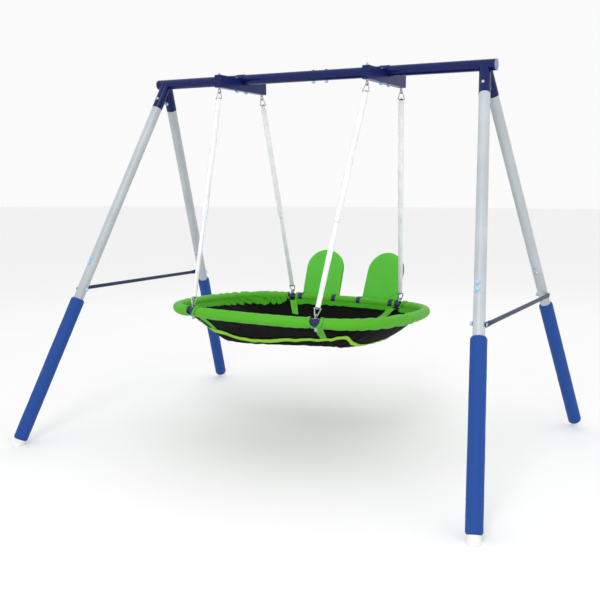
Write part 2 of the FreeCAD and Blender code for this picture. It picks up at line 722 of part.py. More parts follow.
def main_seat():
    place = seat_placement()
    lines = []
    groups = {"rim_clamps": [], "clamp_eye_bolts": [], "clamp_nuts": []}
    for face in FACES.values():
        for side in SIDES.values():
            here = rim_frame(side, face)
            upright = FreeCAD.Placement(here.Base, FreeCAD.Rotation())
            lines.append(placed(clamp_bolt_line(HOLE_RADIUS), here))
            groups["rim_clamps"].append(placed(rim_clamp(), here))
            groups["clamp_eye_bolts"].append(placed(clamp_eye(face), upright))
            groups["clamp_nuts"].append(placed(clamp_nut(), here))
    holes = Part.makeCompound(lines)
    groups["rim_tube"] = [fuse([tube_on_arc(arc, RIM_TUBE).cut(holes) for arc in rim_arcs()])]
    foam = []
    for run_name, arcs in cover_arcs().items():
        groups["rim_cover_" + run_name] = [fuse([tube_on_arc(arc, RIM_COVER) for arc in arcs])]
        foam.append(fuse([tube_on_arc(arc, RIM_FOAM) for arc in arcs]))
    groups["rim_foam"] = foam
    groups["seat_bowl"] = [bowl()]
    groups["seat_tabs"] = seat_tabs()
    web = [strip_on_arc(arc, skin_profile(WEB_FROM, WEB_TO, False)) for arc in rim_arcs()]
    groups["seat_webbing"] = [fuse(web)]
    groups.update(backrest_mounts())
    for name, shapes in groups.items():
        save(name, [placed(shape, place) for shape in shapes])


# Backrests ------------------------------------------------------------------

def backrest_frame(side):
    """Placement of a backrest's pivot line, with local X along the line."""
    near = BACK_CENTRE_X - CLIP_SPACING / 2
    far = BACK_CENTRE_X + CLIP_SPACING / 2
    turn = math.degrees(math.atan2(rim_y(far) - rim_y(near), far - near))
    middle_y = (rim_y(near) + rim_y(far)) / 2
    on_rim = FreeCAD.Placement(vec(side * BACK_CENTRE_X, middle_y, 0), FreeCAD.Rotation(AXIS_Z, side * turn))
    return on_rim.multiply(FreeCAD.Placement(vec(0, PIN_OFFSET, 0), FreeCAD.Rotation()))


def clip():
    """A band round the padded rim, with an ear behind it for the pivot pin."""
    left = vec(-CLIP_LENGTH / 2, -PIN_OFFSET, 0)
    right = vec(CLIP_LENGTH / 2, -PIN_OFFSET, 0)
    band = rod(left, right, CLIP_RADII[0])
    ear_half = EAR_THICKNESS / 2
    neck_half = EAR_RADIUS - 2
    neck_start = CLIP_RADII[0] - PIN_OFFSET - 2
    neck = box_between(vec(-ear_half, neck_start, -neck_half), vec(ear_half, 0, neck_half))
    head = Part.makeCylinder(EAR_RADIUS, EAR_THICKNESS, vec(-ear_half, 0, 0), AXIS_X)
    solid = fuse([band, neck, head])
    bore = rod(left, right, CLIP_RADII[1])
    pin_hole = Part.makeCylinder(PIN_RADIUS, EAR_THICKNESS, vec(-ear_half, 0, 0), AXIS_X)
    return solid.cut(bore).cut(pin_hole)


def pin():
    half = BLOCK_WIDTH / 2 + 1.5
    parts = [rod(vec(-half, 0, 0), vec(half, 0, 0), PIN_RADIUS)]
    for end in (-1, 1):
        parts.append(dome(vec(end * half, 0, 0), AXIS_X * end, PIN_RADIUS + 1.5, 1.5))
    return fuse(parts)


def backrest_mounts():
    groups = {"backrest_clips": [], "backrest_pins": []}
    for side in SIDES.values():
        place = backrest_frame(side)
        for end in (-0.5, 0.5):
            shift = FreeCAD.Placement(vec(end * CLIP_SPACING, 0, 0), FreeCAD.Rotation())
            groups["backrest_clips"].append(placed(clip(), place.multiply(shift)))
            groups["backrest_pins"].append(placed(pin(), place.multiply(shift)))
    return groups


def back_tube_path():
    """Centre line of the U-shaped tube: up one side, over the top and down the other."""
    half = CLIP_SPACING / 2
    spring = PAD_START + PAD_LENGTH - PAD_WIDTH / 2
    low = PAD_START - 4.5
    up = Part.LineSegment(vec(-half, 0, low), vec(-half, 0, spring))
    over = Part.Arc(vec(-half, 0, spring), vec(0, 0, spring + half), vec(half, 0, spring))
    down = Part.LineSegment(vec(half, 0, spring), vec(half, 0, low))
    return Part.Wire([up.toShape(), over.toShape(), down.toShape()])


def back_tube(radius):
    path = back_tube_path()
    start = path.Vertexes[0].Point
    ring = Part.Wire(Part.Circle(start, AXIS_Z, radius).toShape())
    return path.makePipeShell([ring], True, True)


def back_pad(tube):
    """A flat cushion with a fully round top and soft edges."""
    half = PAD_WIDTH / 2
    depth = PAD_THICKNESS / 2
    spring = PAD_START + PAD_LENGTH - half
    slab = box_between(vec(-half, -depth, PAD_START), vec(half, depth, spring))
    top = Part.makeCylinder(half, PAD_THICKNESS, vec(0, -depth, spring), AXIS_Y)
    solid = fuse([slab, top])
    rims = []
    for edge in solid.Edges:
        flat = edge.BoundBox.YLength < 0.01
        if flat and abs(abs(edge.BoundBox.YMin) - depth) < 0.01 and edge.BoundBox.ZMax > PAD_START + 1:
            rims.append(edge)
    return solid.makeFillet(PAD_SOFTNESS, rims).cut(tube)


def pivot_block():
    """A plastic fork on the tube's end, round the clip's ear."""
    half = BLOCK_WIDTH / 2
    body = box_between(vec(-half, -EAR_RADIUS, 0), vec(half, EAR_RADIUS, PAD_START - 0.2))
    nose = Part.makeCylinder(EAR_RADIUS, BLOCK_WIDTH, vec(-half, 0, 0), AXIS_X)
    solid = fuse([body, nose])
    slot_half = EAR_THICKNESS / 2 + 0.3
    reach = EAR_RADIUS + 1
    slot = box_between(vec(-slot_half, -reach, -reach), vec(slot_half, reach, EAR_RADIUS + 0.6))
    hole = Part.makeCylinder(PIN_RADIUS + 0.05, BLOCK_WIDTH, vec(-half, 0, 0), AXIS_X)
    return solid.cut(slot).cut(hole)


def main_backrests():
    recline = FreeCAD.Placement(vec(0, 0, 0), FreeCAD.Rotation(AXIS_X, -BACK_RECLINE))
    tube = back_tube(BACK_TUBE)
    pad = back_pad(back_tube(BACK_TUBE + 0.1))
    for side_name, side in SIDES.items():
        place = seat_placement().multiply(backrest_frame(side)).multiply(recline)
        name = "backrest_" + side_name
        blocks = []
        for end in (-0.5, 0.5):
            block = pivot_block()
            block.translate(vec(end * CLIP_SPACING, 0, 0))
            blocks.append(placed(block.cut(tube), place))
        save(name + "_pivot_blocks", blocks)
        save(name + "_tube", placed(tube, place))
        save(name + "_pad", placed(pad, place))
        pivot = seat_placement().multiply(backrest_frame(side))
        print(name, "pivot", pivot.Base, "axis", pivot.Rotation.multVec(AXIS_X))


def main():
    os.makedirs("parts", exist_ok=True)
    leg_sets = []
    main_legs(leg_sets)
    beam_sets = main_beam(leg_sets)
    strap_sets, eye_nuts = main_arms()
    brace_sets = leg_sets[3::4]
    plain_sets = [item for item in leg_sets if item not in brace_sets]
    save("leg_bolts", [item.bolt for item in plain_sets])
    save("brace_bolts", [item.bolt for item in brace_sets])
    capped = leg_sets + beam_sets + strap_sets
    save("hex_nuts", [item.nut for item in capped] + eye_nuts)
    save("nut_caps", [item.cap for item in capped])
    main_hangers()
    main_seat()
    main_backrests()


main()
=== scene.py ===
import bmesh
import bpy
import json
import math
from mathutils import Matrix, Vector, noise


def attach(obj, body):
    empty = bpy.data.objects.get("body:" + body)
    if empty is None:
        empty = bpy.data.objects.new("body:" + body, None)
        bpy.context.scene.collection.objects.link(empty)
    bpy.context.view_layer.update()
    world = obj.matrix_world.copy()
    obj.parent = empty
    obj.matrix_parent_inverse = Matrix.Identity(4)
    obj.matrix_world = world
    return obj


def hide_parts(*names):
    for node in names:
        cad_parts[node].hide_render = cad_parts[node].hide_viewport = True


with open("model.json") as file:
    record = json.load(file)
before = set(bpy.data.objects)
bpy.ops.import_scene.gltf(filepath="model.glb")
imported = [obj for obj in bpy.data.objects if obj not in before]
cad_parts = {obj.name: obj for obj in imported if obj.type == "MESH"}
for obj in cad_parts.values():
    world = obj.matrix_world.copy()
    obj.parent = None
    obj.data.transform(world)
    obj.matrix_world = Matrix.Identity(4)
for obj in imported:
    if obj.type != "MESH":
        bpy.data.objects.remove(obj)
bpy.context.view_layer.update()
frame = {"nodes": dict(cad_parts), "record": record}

NODES = frame["nodes"]
JOINTS = {joint["name"]: joint for joint in frame["record"]["behaviour"]["joints"]}

# Sizes in metres and angles in radians, the same as the CAD model's
APEX = Vector((0.89, 0.0, 1.82))
FOOT = Vector((1.19, 0.86, 0.0))
FOAM_RADIUS = 0.0345
LEG_RADIUS = 0.025
FOAM_TOP_SHARE = 0.612
FOAM_GROUND_GAP = 0.030
HOOK_X = 0.405
CLAMP_X = 0.339
SEAT_BASE = Vector((-0.033, -0.015, 0.669))
SEAT_TILT = math.radians(-2.4)
RIM_A = 0.600
RIM_B = 0.496
SIDE_RADIUS = 1.8
END_RADIUS = 1.0
CORNER_RADIUS = 0.28
COVER_RADIUS = 0.025
CLAMP_HALF = 0.0245
BOWL_START = 0.031
BOWL_SIDE = 0.241
BOWL_REACH = 0.272
BOWL_FLOOR = -0.152
BOWL_PROFILE = ((BOWL_START, -0.008), (0.060, -0.034), (0.228, -0.142), (BOWL_REACH, BOWL_FLOOR))
BOWL_THICKNESS = 0.003
LUG_HEIGHT = 0.034
LINK_HEIGHT = 0.033
SLEEVE_SHARE = 0.60
SLEEVE_LAP = 0.040
PAD_WIDTH = 0.225
PAD_LENGTH = 0.275
PAD_THICKNESS = 0.028
PAD_START = 0.014
PAD_RECLINE = math.radians(-20)

# Sizes of the cloth, foam and vinyl alone, in metres
SKIN_GAP = 0.0004
CLOTH_THICKNESS = 0.0016
FOAM_EDGE = 0.005
FOAM_GIRTH = 0.217
UPPER_SLEEVE_RADIUS = 0.0138
LOWER_SLEEVE_RADIUS = 0.0112
SLEEVE_GIRTH = 0.075
BOWL_MIDDLE = 0.728
BOWL_FOLD = 0.0045
BOWL_FINE_FOLD = 0.0018
COVER_GIRTH = 0.157
COVER_STEP = 0.006
COVER_INSET = 0.0006
PLEAT_SPACING = 0.078
PLEAT_HEIGHT = 0.0075
PLEAT_DIP = 0.0014
PLEAT_RISE = 0.0050
PLEAT_RISE_AT_CLIPS = 0.0008
SKIRT_STEP = 0.005
SKIRT_START = 0.0225
SKIRT_WIDTH = 0.050
TAB_STAND = 0.0024
TAB_OUTSIDE = 0.222
TAB_INSIDE = 0.180
WEB_HALF_WIDTH = 0.0130

# Ends of a colour ramp's change, as noise and wave values
RAMP_ENDS = (0.3, 0.7)
# How much a second colour variation counts against the first
SECOND_TINT = 0.5
# Rows of a cushion's faces, counted from the middle of its front, that make its gusset, which gets a
# darker green as painted shade
GUSSET_ROWS = (6, 7, 8)


# Materials ------------------------------------------------------------------

def colour(red, green, blue):
    """Linear colour of a display colour given from 0 to 255."""
    def linear(value):
        value = value / 255
        return value / 12.92 if value <= 0.04045 else ((value + 0.055) / 1.055) ** 2.4
    return (linear(red), linear(green), linear(blue), 1.0)


class Surface:
    """A node material: a varied base colour and a bump, built step by step."""

    def __init__(self, name, base, roughness, metallic=0.0, coat=0.0):
        self.material = bpy.data.materials.new(name)
        self.material.use_nodes = True
        self.tree = self.material.node_tree
        self.shader = self.tree.nodes["Principled BSDF"]
        self.base = base
        self.shader.inputs["Base Color"].default_value = base
        self.shader.inputs["Roughness"].default_value = roughness
        self.shader.inputs["Metallic"].default_value = metallic
        self.shader.inputs["Coat Weight"].default_value = coat
        self.shader.inputs["Coat Roughness"].default_value = 0.12
        self.place = self.node("ShaderNodeTexCoord")

    def node(self, kind, **values):
        made = self.tree.nodes.new(kind)
        for key, value in values.items():
            setattr(made, key, value)
        return made

    def link(self, output, target):
        self.tree.links.new(output, target)

    def noise(self, scale, detail=4.0, stretch=(1, 1, 1)):
        mapping = self.node("ShaderNodeMapping")
        mapping.inputs["Scale"].default_value = stretch
        self.link(self.place.outputs["Object"], mapping.inputs["Vector"])
        made = self.node("ShaderNodeTexNoise")
        made.inputs["Scale"].default_value = scale
        made.inputs["Detail"].default_value = detail
        self.link(mapping.outputs["Vector"], made.inputs["Vector"])
        return made.outputs["Fac"]

    def wave(self, scale, direction, distortion=0.3):
        made = self.node("ShaderNodeTexWave", bands_direction=direction)
        made.inputs["Scale"].default_value = scale
        made.inputs["Distortion"].default_value = distortion
        made.inputs["Detail"].default_value = 1.0
        self.link(self.place.outputs["UV"], made.inputs["Vector"])
        return made.outputs["Fac"]

    def weave(self, scale, distortion=0.3):
        bands = [self.wave(scale, direction, distortion) for direction in "XY"]
        highest = self.node("ShaderNodeMath", operation="MAXIMUM")
        for socket, band in zip(highest.inputs, bands):
            self.link(band, socket)
        return highest.outputs["Value"]

    def vary(self, factor, dark, light):
        """Vary the base colour between two multiples of it. A second call varies what the first gave."""
        target = self.shader.inputs["Base Color"]
        again = target.is_linked
        tint = (1.0, 1.0, 1.0) if again else self.base[:3]
        ramp = self.node("ShaderNodeValToRGB")
        for end, place, share in zip(ramp.color_ramp.elements, RAMP_ENDS, (dark, light)):
            end.position = place
            end.color = tuple(min(1.0, channel * share) for channel in tint) + (1.0,)
        self.link(factor, ramp.inputs["Fac"])
        result = ramp.outputs["Color"]
        if again:
            mix = self.node("ShaderNodeMix", data_type="RGBA", blend_type="MULTIPLY")
            mix.inputs["Factor"].default_value = SECOND_TINT
            self.link(target.links[0].from_socket, mix.inputs["A"])
            self.link(result, mix.inputs["B"])
            result = mix.outputs["Result"]
        self.link(result, target)

    def rough(self, factor, low, high):
        spread = self.node("ShaderNodeMapRange")
        spread.inputs["To Min"].default_value = low
        spread.inputs["To Max"].default_value = high
        self.link(factor, spread.inputs["Value"])
        self.link(spread.outputs["Result"], self.shader.inputs["Roughness"])

    def bump(self, factor, strength, distance):
        made = self.node("ShaderNodeBump")
        made.inputs["Strength"].default_value = strength
        made.inputs["Distance"].default_value = distance
        self.link(factor, made.inputs["Height"])
        if self.shader.inputs["Normal"].is_linked:
            self.link(self.shader.inputs["Normal"].links[0].from_socket, made.inputs["Normal"])
        self.link(made.outputs["Normal"], self.shader.inputs["Normal"])


def painted(name, base, roughness, coat, gloss):
    """Powder coat: a slightly uneven tone, gloss and orange-peel skin."""
    surface = Surface(name, base, roughness, coat=coat)
    surface.shader.inputs["Specular IOR Level"].default_value = gloss
    surface.vary(surface.noise(6.0), 0.90, 1.08)
    surface.rough(surface.noise(35.0), roughness * 0.85, roughness * 1.25)
    surface.bump(surface.noise(420.0, 2.0), 0.04, 0.0004)
    return surface.material


def metal(name, base, roughness):
    """Zinc or steel with a blotchy tone and gloss."""
    surface = Surface(name, base, roughness, metallic=1.0)
    surface.vary(surface.noise(90.0), 0.75, 1.1)
    surface.rough(surface.noise(160.0), roughness * 0.7, roughness * 1.4)
    surface.bump(surface.noise(700.0, 2.0), 0.12, 0.0004)
    return surface.material


def plastic(name, base, roughness, grain=900.0):
    """Moulded plastic, or foam where the grain is coarse."""
    surface = Surface(name, base, roughness)
    surface.vary(surface.noise(45.0), 0.90, 1.06)
    surface.rough(surface.noise(120.0), roughness * 0.8, roughness * 1.25)
    surface.bump(surface.noise(grain, 2.0), 0.15, 0.0003)
    return surface.material


def foam_material():
    """Blue foam with a fine cross-hatched skin and a mottled tone."""
    surface = Surface("blue_foam", colour(22, 68, 142), 0.55)
    surface.shader.inputs["Specular IOR Level"].default_value = 0.25
    surface.vary(surface.weave(95.0, distortion=0.8), 0.80, 1.18)
    surface.vary(surface.noise(60.0, 6.0), 0.86, 1.0)
    surface.rough(surface.noise(80.0), 0.45, 0.68)
    surface.bump(surface.weave(95.0, distortion=0.8), 0.45, 0.0009)
    surface.bump(surface.noise(240.0), 0.25, 0.0008)
    return surface.material


def fabric(name, base, roughness, threads, gloss):
    """Coated cloth: a fine weave, a cloudy tone and small creases."""
    surface = Surface(name, base, roughness)
    surface.shader.inputs["Specular IOR Level"].default_value = gloss
    surface.vary(surface.weave(threads), 0.86, 1.10)
    surface.vary(surface.noise(9.0, 5.0), 0.88, 1.0)
    surface.rough(surface.noise(30.0), roughness * 0.85, roughness * 1.15)
    surface.bump(surface.weave(threads), 0.35, 0.0006)
    surface.bump(surface.noise(55.0, 5.0), 0.30, 0.0015)
    return surface.material


def vinyl_material():
    """Soft white vinyl tube that lets a little light in and is creased along its length."""
    surface = Surface("white_vinyl", colour(236, 238, 240), 0.3)
    surface.shader.inputs["Subsurface Weight"].default_value = 0.15
    surface.shader.inputs["Subsurface Scale"].default_value = 0.004
    surface.vary(surface.noise(50.0, 3.0, stretch=(1, 1, 0.35)), 0.88, 1.03)
    surface.rough(surface.noise(90.0), 0.24, 0.42)
    surface.bump(surface.noise(110.0, 4.0, stretch=(1, 1, 0.3)), 0.40, 0.0016)
    return surface.material


def webbing_material():
    """Lime webbing with woven ribs across it."""
    surface = Surface("lime_webbing", colour(156, 226, 58), 0.7)
    surface.shader.inputs["Specular IOR Level"].default_value = 0.2
    ribs = surface.wave(260.0, "X", distortion=0.1)
    surface.vary(ribs, 0.78, 1.08)
    surface.bump(ribs, 0.6, 0.0008)
    return surface.material


MATERIALS = {
    "navy_paint": painted("navy_paint", colour(3, 20, 82), 0.24, 0.12, 0.22),
    "arm_paint": painted("arm_paint", colour(14, 30, 88), 0.30, 0.06, 0.18),
    "slate_paint": painted("slate_paint", colour(26, 40, 76), 0.40, 0.05, 0.25),
    "white_paint": painted("white_paint", colour(178, 185, 190), 0.34, 0.15, 0.4),
    "blue_foam": foam_material(),
    "white_plastic": plastic("white_plastic", colour(236, 236, 232), 0.45),
    "grey_plastic": plastic("grey_plastic", colour(120, 140, 172), 0.45),
    "pale_blue_plastic": plastic("pale_blue_plastic", colour(160, 200, 245), 0.22),
    "navy_plastic": plastic("navy_plastic", colour(4, 16, 84), 0.22),
    "black_plastic": plastic("black_plastic", colour(22, 22, 24), 0.45),
    "zinc_steel": metal("zinc_steel", colour(190, 192, 196), 0.30),
    "bare_steel": metal("bare_steel", colour(150, 152, 156), 0.38),
    "white_vinyl": vinyl_material(),
    "green_fabric": fabric("green_fabric", colour(78, 172, 22), 0.55, 330.0, 0.30),
    "black_fabric": fabric("black_fabric", colour(9, 8, 8), 0.7, 300.0, 0.05),
    "lime_webbing": webbing_material(),
    # A darker copy of the green cloth: painted shade for the covers' inner flaps and the cushions'
    # gussets
    "painted_shade_green": fabric("painted_shade_green", colour(58, 150, 14), 0.6, 330.0, 0.15),
    "pad_fabric": fabric("pad_fabric", colour(84, 192, 52), 0.55, 330.0, 0.30),
    "grey_foam": plastic("grey_foam", colour(110, 110, 112), 0.8, 300.0),
}


def dress_nodes():
    """Give every CAD node the material of its slot in the record."""
    for part in frame["record"]["subparts"]:
        mesh = NODES[part["node"]].data
        mesh.materials.clear()
        mesh.materials.append(MATERIALS[part["material_slot"]])


# Mesh helpers ---------------------------------------------------------------

def finish_piece(piece, body, slot, *nodes):
    """Hide the CAD nodes that a piece stands for and hang the piece on the body it rides on. The slot
    argument is not used.
    """
    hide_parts(*nodes)
    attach(piece, body)
    return piece


def mesh_piece(name, verts, faces, uvs, material):
    """A smooth mesh. uvs holds one (u, v) per corner of each face, in face order."""
    mesh = bpy.data.meshes.new(name)
    mesh.from_pydata([tuple(vert) for vert in verts], [], faces)
    layer = mesh.uv_layers.new(name="UVMap")
    for loop, uv in zip(layer.data, uvs):
        loop.uv = uv
    mesh.materials.append(material)
    mesh.polygons.foreach_set("use_smooth", [True] * len(mesh.polygons))
    piece = bpy.data.objects.new(name, mesh)
    bpy.context.collection.objects.link(piece)
    return piece


def grid_piece(name, rows, material, uv_of, close_rows=False, close_columns=False):
    """A mesh from rows of points. uv_of(row, column) gives a corner's place in metres."""
    height = len(rows)
    width = len(rows[0])
    verts = [point for row in rows for point in row]
    faces = []
    uvs = []
    for i in range(height if close_rows else height - 1):
        for j in range(width if close_columns else width - 1):
            corners = ((i, j), (i, j + 1), (i + 1, j + 1), (i + 1, j))
            faces.append([(a % height) * width + b % width for a, b in corners])
            uvs.extend(uv_of(a, b) for a, b in corners)
    return mesh_piece(name, verts, faces, uvs, material)


def join_pieces(name, pieces):
    """One mesh object from several, in the order given."""
    bpy.ops.object.select_all(action="DESELECT")
    for piece in pieces:
        piece.select_set(True)
    bpy.context.view_layer.objects.active = pieces[0]
    bpy.ops.object.join()
    pieces[0].name = name
    pieces[0].data.name = name
    return pieces[0]


def thicken(piece, thickness):
    """Give a sheet its thickness, half on each side."""
    solid = piece.modifiers.new("thickness", "SOLIDIFY")
    solid.thickness = thickness
    solid.offset = 0.0


def smooth_step(value):
    """From 0 to 1 as the value does, with a level start and end."""
    value = max(0.0, min(1.0, value))
    return value * value * (3 - 2 * value)


def wrinkle(point, size, seed):
    """Noise from -1 to 1 at a point, with features about size metres across."""
    return noise.noise(Vector(point) / size + Vector((seed, seed * 1.7, -seed)))


def tube_rows(start, end, rings, sides, radius_of):
    """Rings of points round a straight line. radius_of(distance, angle) gives the radius."""
    along = end - start
    length = along.length
    turn = along.to_track_quat("Z", "X")
    rows = []
    for ring in range(rings + 1):
        distance = length * ring / rings
        row = []
        for side in range(sides):
            angle = 2 * math.pi * side / sides
            radius = radius_of(distance, angle)
            offset = turn @ Vector((radius * math.cos(angle), radius * math.sin(angle), 0))
            row.append(start + along * (distance / length) + offset)
        rows.append(row)
    return rows


def close_ends(rows, share):
    """Add a smaller ring inside each end of a tube, as the turned-in edge of its skin."""
    for index in (0, -1):
        ring = rows[index]
        centre = sum(ring, Vector()) / len(ring)
        smaller = [centre + (point - centre) * share for point in ring]
        rows.insert(0 if index == 0 else len(rows), smaller)


# Leg foam -------------------------------------------------------------------

def foam_sleeve(side, face, name):
    """Foam over the lower leg: rounded ends, soft dents and a slightly uneven skin."""
    apex = Vector((side * APEX.x, 0, APEX.z))
    foot = Vector((side * FOOT.x, face * FOOT.y, 0))
    length = (foot - apex).length
    start = apex.lerp(foot, FOAM_TOP_SHARE)
    end = apex.lerp(foot, 1 - FOAM_GROUND_GAP / length)
    run = (end - start).length
    seed = side * 3.1 + face * 7.7
    rings = 90
    sides = 40

    def radius_of(distance, angle):
        edge = min(distance, run - distance)
        round_end = FOAM_EDGE * (1 - math.sqrt(max(0.0, 1 - max(0.0, 1 - edge / FOAM_EDGE) ** 2)))
        place = (math.cos(angle) * 0.03, math.sin(angle) * 0.03, distance)
        dent = 0.0006 * wrinkle(place, 0.05, seed) + 0.0003 * wrinkle(place, 0.012, seed)
        return FOAM_RADIUS - SKIN_GAP - round_end + dent

    rows = tube_rows(start, end, rings, sides, radius_of)
    inner = tube_rows(start, end, 1, sides, lambda distance, angle: LEG_RADIUS + SKIN_GAP)
    rows = [inner[0]] + rows + [inner[1]]
    place = lambda a, b: (b / sides * FOAM_GIRTH, a / rings * run)
    piece = grid_piece(name + "_skin", rows, MATERIALS["blue_foam"], place, close_columns=True)
    return finish_piece(piece, "frame", "blue_foam", name)


def make_foam():
    for side_name, side in (("left", -1), ("right", 1)):
        for face_name, face in (("front", -1), ("back", 1)):
            foam_sleeve(side, face, "foam_sleeve_" + face_name + "_" + side_name)


# Chain sleeves --------------------------------------------------------------

def sleeve_pair(top, low, seed):
    """The wide wrinkled upper sleeve and the smoother lower one that runs up inside it."""
    down = (low - top).normalized()
    length = (low - top).length
    lap = length * SLEEVE_SHARE
    start = top + down * (LINK_HEIGHT + 0.004)
    upper_end = top + down * lap
    lower_start = top + down * (lap - SLEEVE_LAP)
    end = top + down * (length - LINK_HEIGHT - 0.004)
    sides = 24

    def upper(distance, angle):
        run = (upper_end - start).length
        lump = 0.0010 * math.cos(2 * (angle - 9 * distance - seed))
        place = (math.cos(angle) * 0.012, math.sin(angle) * 0.012, distance * 0.8)
        crease = 0.0013 * wrinkle(place, 0.011, seed) + 0.0012 * wrinkle(place, 0.035, seed)
        pinch = 0.0018 * math.exp(-((run - distance) / 0.010) ** 2)
        neck = 0.0022 * math.exp(-(distance / 0.012) ** 2)
        return UPPER_SLEEVE_RADIUS + lump + crease - pinch - neck

    def lower(distance, angle):
        flat = 0.0012 * math.cos(2 * (angle - 2.5 * distance - seed))
        place = (math.cos(angle) * 0.011, math.sin(angle) * 0.011, distance * 0.5)
        return LOWER_SLEEVE_RADIUS + flat + 0.0004 * wrinkle(place, 0.02, seed)

    pieces = []
    runs = (("upper", start, upper_end, upper, 150), ("lower", lower_start, end, lower, 90))
    for label, a, b, rule, rings in runs:
        rows = tube_rows(a, b, rings, sides, rule)
        close_ends(rows, 0.86)
        uv_of = lambda i, j: (j / sides * SLEEVE_GIRTH, i * 0.004)
        vinyl = MATERIALS["white_vinyl"]
        pieces.append(grid_piece("sleeve_" + label, rows, vinyl, uv_of, close_columns=True))
    return pieces


def make_sleeves():
    """The sleeves of all four hangers, from the joint at the arms to the clamps."""
    swings = (("front", "front_swing", "seat_level"), ("back", "back_swing", None))
    for face_name, top_joint, low_joint in swings:
        top = Vector(JOINTS[top_joint]["pos_m"])
        if low_joint:
            low = Vector(JOINTS[low_joint]["pos_m"])
        else:
            clamp_y = RIM_B - SIDE_RADIUS + math.sqrt(SIDE_RADIUS ** 2 - CLAMP_X ** 2)
            low = seat_point(Vector((0, clamp_y, LUG_HEIGHT)))
        pieces = []
        for side in (-1, 1):
            a = Vector((side * HOOK_X, top.y, top.z))
            b = Vector((SEAT_BASE.x + side * CLAMP_X, low.y, low.z))
            pieces.extend(sleeve_pair(a, b, side * 2.3 + top.y * 10))
        name = face_name + "_chain_sleeves"
        vinyl = join_pieces(name + "_vinyl", pieces)
        finish_piece(vinyl, face_name + "_hangers", "white_vinyl", name)


# Seat geometry --------------------------------------------------------------

SEAT_TURN = Matrix.Rotation(SEAT_TILT, 4, "X")


def seat_point(local):
    """A point given in the seat's own level frame, placed in the model's frame."""
    return SEAT_TURN @ Vector(local) + SEAT_BASE


def corner_centre():
    """Centre of the rim's back right corner arc, which touches the side arc and the end arc."""
    side_y = RIM_B - SIDE_RADIUS
    end_x = RIM_A - END_RADIUS
    reach_side = SIDE_RADIUS - CORNER_RADIUS
    reach_end = END_RADIUS - CORNER_RADIUS
    gap = math.hypot(end_x, side_y)
    along = (reach_side ** 2 - reach_end ** 2 + gap ** 2) / (2 * gap)
    off = math.sqrt(reach_side ** 2 - along ** 2)
    ux = end_x / gap
    uy = -side_y / gap
    return along * ux + off * uy, side_y + along * uy - off * ux


def rim_arcs():
    """The rim's tangent arcs, anticlockwise from the right end: centre, radius, start, sweep."""
    cx, cy = corner_centre()
    side_half = math.atan2(cx, cy - (RIM_B - SIDE_RADIUS))
    end_half = math.atan2(cy, cx - (RIM_A - END_RADIUS))
    corner = math.pi / 2 - side_half - end_half
    arcs = []
    for half_turn in (0, 1):
        sign = 1 - 2 * half_turn
        base = math.pi * half_turn
        arcs.append((sign * (RIM_A - END_RADIUS), 0, END_RADIUS, base - end_half, 2 * end_half))
        arcs.append((sign * cx, sign * cy, CORNER_RADIUS, base + end_half, corner))
        top = base + math.pi / 2
        arcs.append((0, sign * (RIM_B - SIDE_RADIUS), SIDE_RADIUS, top - side_half, 2 * side_half))
        arcs.append((-sign * cx, sign * cy, CORNER_RADIUS, top + side_half, corner))
    return arcs


ARCS = rim_arcs()
RIM_LENGTH = sum(arc[2] * arc[4] for arc in ARCS)


def rim_at(distance):
    """Point on the rim's axis and its outward direction, by the distance round from the right end."""
    distance = (distance + ARCS[0][2] * ARCS[0][4] / 2) % RIM_LENGTH
    for x, y, radius, start, sweep in ARCS:
        if distance <= radius * sweep:
            break
        distance -= radius * sweep
    angle = start + distance / radius
    out = Vector((math.cos(angle), math.sin(angle), 0))
    return Vector((x, y, 0)) + out * radius, out


def rim_distance_of(side, face):
    """Distance round the rim at a clamp. side is 1 on the right, face is 1 at the back."""
    quarter = 0.5 - 0.25 * face
    swing = SIDE_RADIUS * math.asin(CLAMP_X / SIDE_RADIUS)
    return quarter * RIM_LENGTH - side * face * swing


def bowl_height(inset):
    """Height of the bowl's inner face, rounded where the CAD profile has corners."""
    total = 0.0
    for step in (-0.012, -0.006, 0.0, 0.006, 0.012):
        total += profile_height(inset + step)
    return total / 5


def profile_height(inset):
    """Height of the CAD profile at an inset from the rim's axis."""
    points = ((0.0, 0.014),) + BOWL_PROFILE + ((1.0, BOWL_FLOOR),)
    for (d0, z0), (d1, z1) in zip(points, points[1:]):
        if inset <= d1:
            return z0 + (z1 - z0) * max(0.0, inset - d0) / (d1 - d0)
    return points[-1][1]


def bowl_sag(distance, inset):
    """Height of the bowl's soft folds, of its fuller right end and of its uneven lower corners."""
    side_part = smooth_step((inset - 0.04) / 0.05) * smooth_step((0.30 - inset) / 0.06)
    fold = wrinkle((distance * 2.2 + inset * 0.6, inset * 0.5, 0), 0.10, 4.0)
    fine = wrinkle((distance + inset * 1.1, inset * 0.6, 0), 0.045, 9.0)
    turn = 2 * math.pi * distance / RIM_LENGTH
    endness = math.cos(2 * turn) * 0.5 + 0.5
    bulge = 0.010 + 0.020 * math.cos(turn)
    fuller = -bulge * endness * math.sin(math.pi * min(1.0, max(0.0, inset - 0.03) / 0.25))
    outer_floor = smooth_step((inset - 0.08) / 0.15) * (1 - smooth_step((inset - BOWL_REACH) / 0.60))
    share = (distance / RIM_LENGTH) % 1
    low_corner = math.exp(-((share - 0.68) / 0.06) ** 2)
    high_corner = math.exp(-((share - 0.86) / 0.08) ** 2)
    end_slope = 0.015 * math.cos(turn - 0.25)
    lean = outer_floor * (end_slope - 0.010 * low_corner + 0.006 * high_corner)
    return side_part * (BOWL_FOLD * fold + BOWL_FINE_FOLD * fine - 0.0015) + fuller + lean


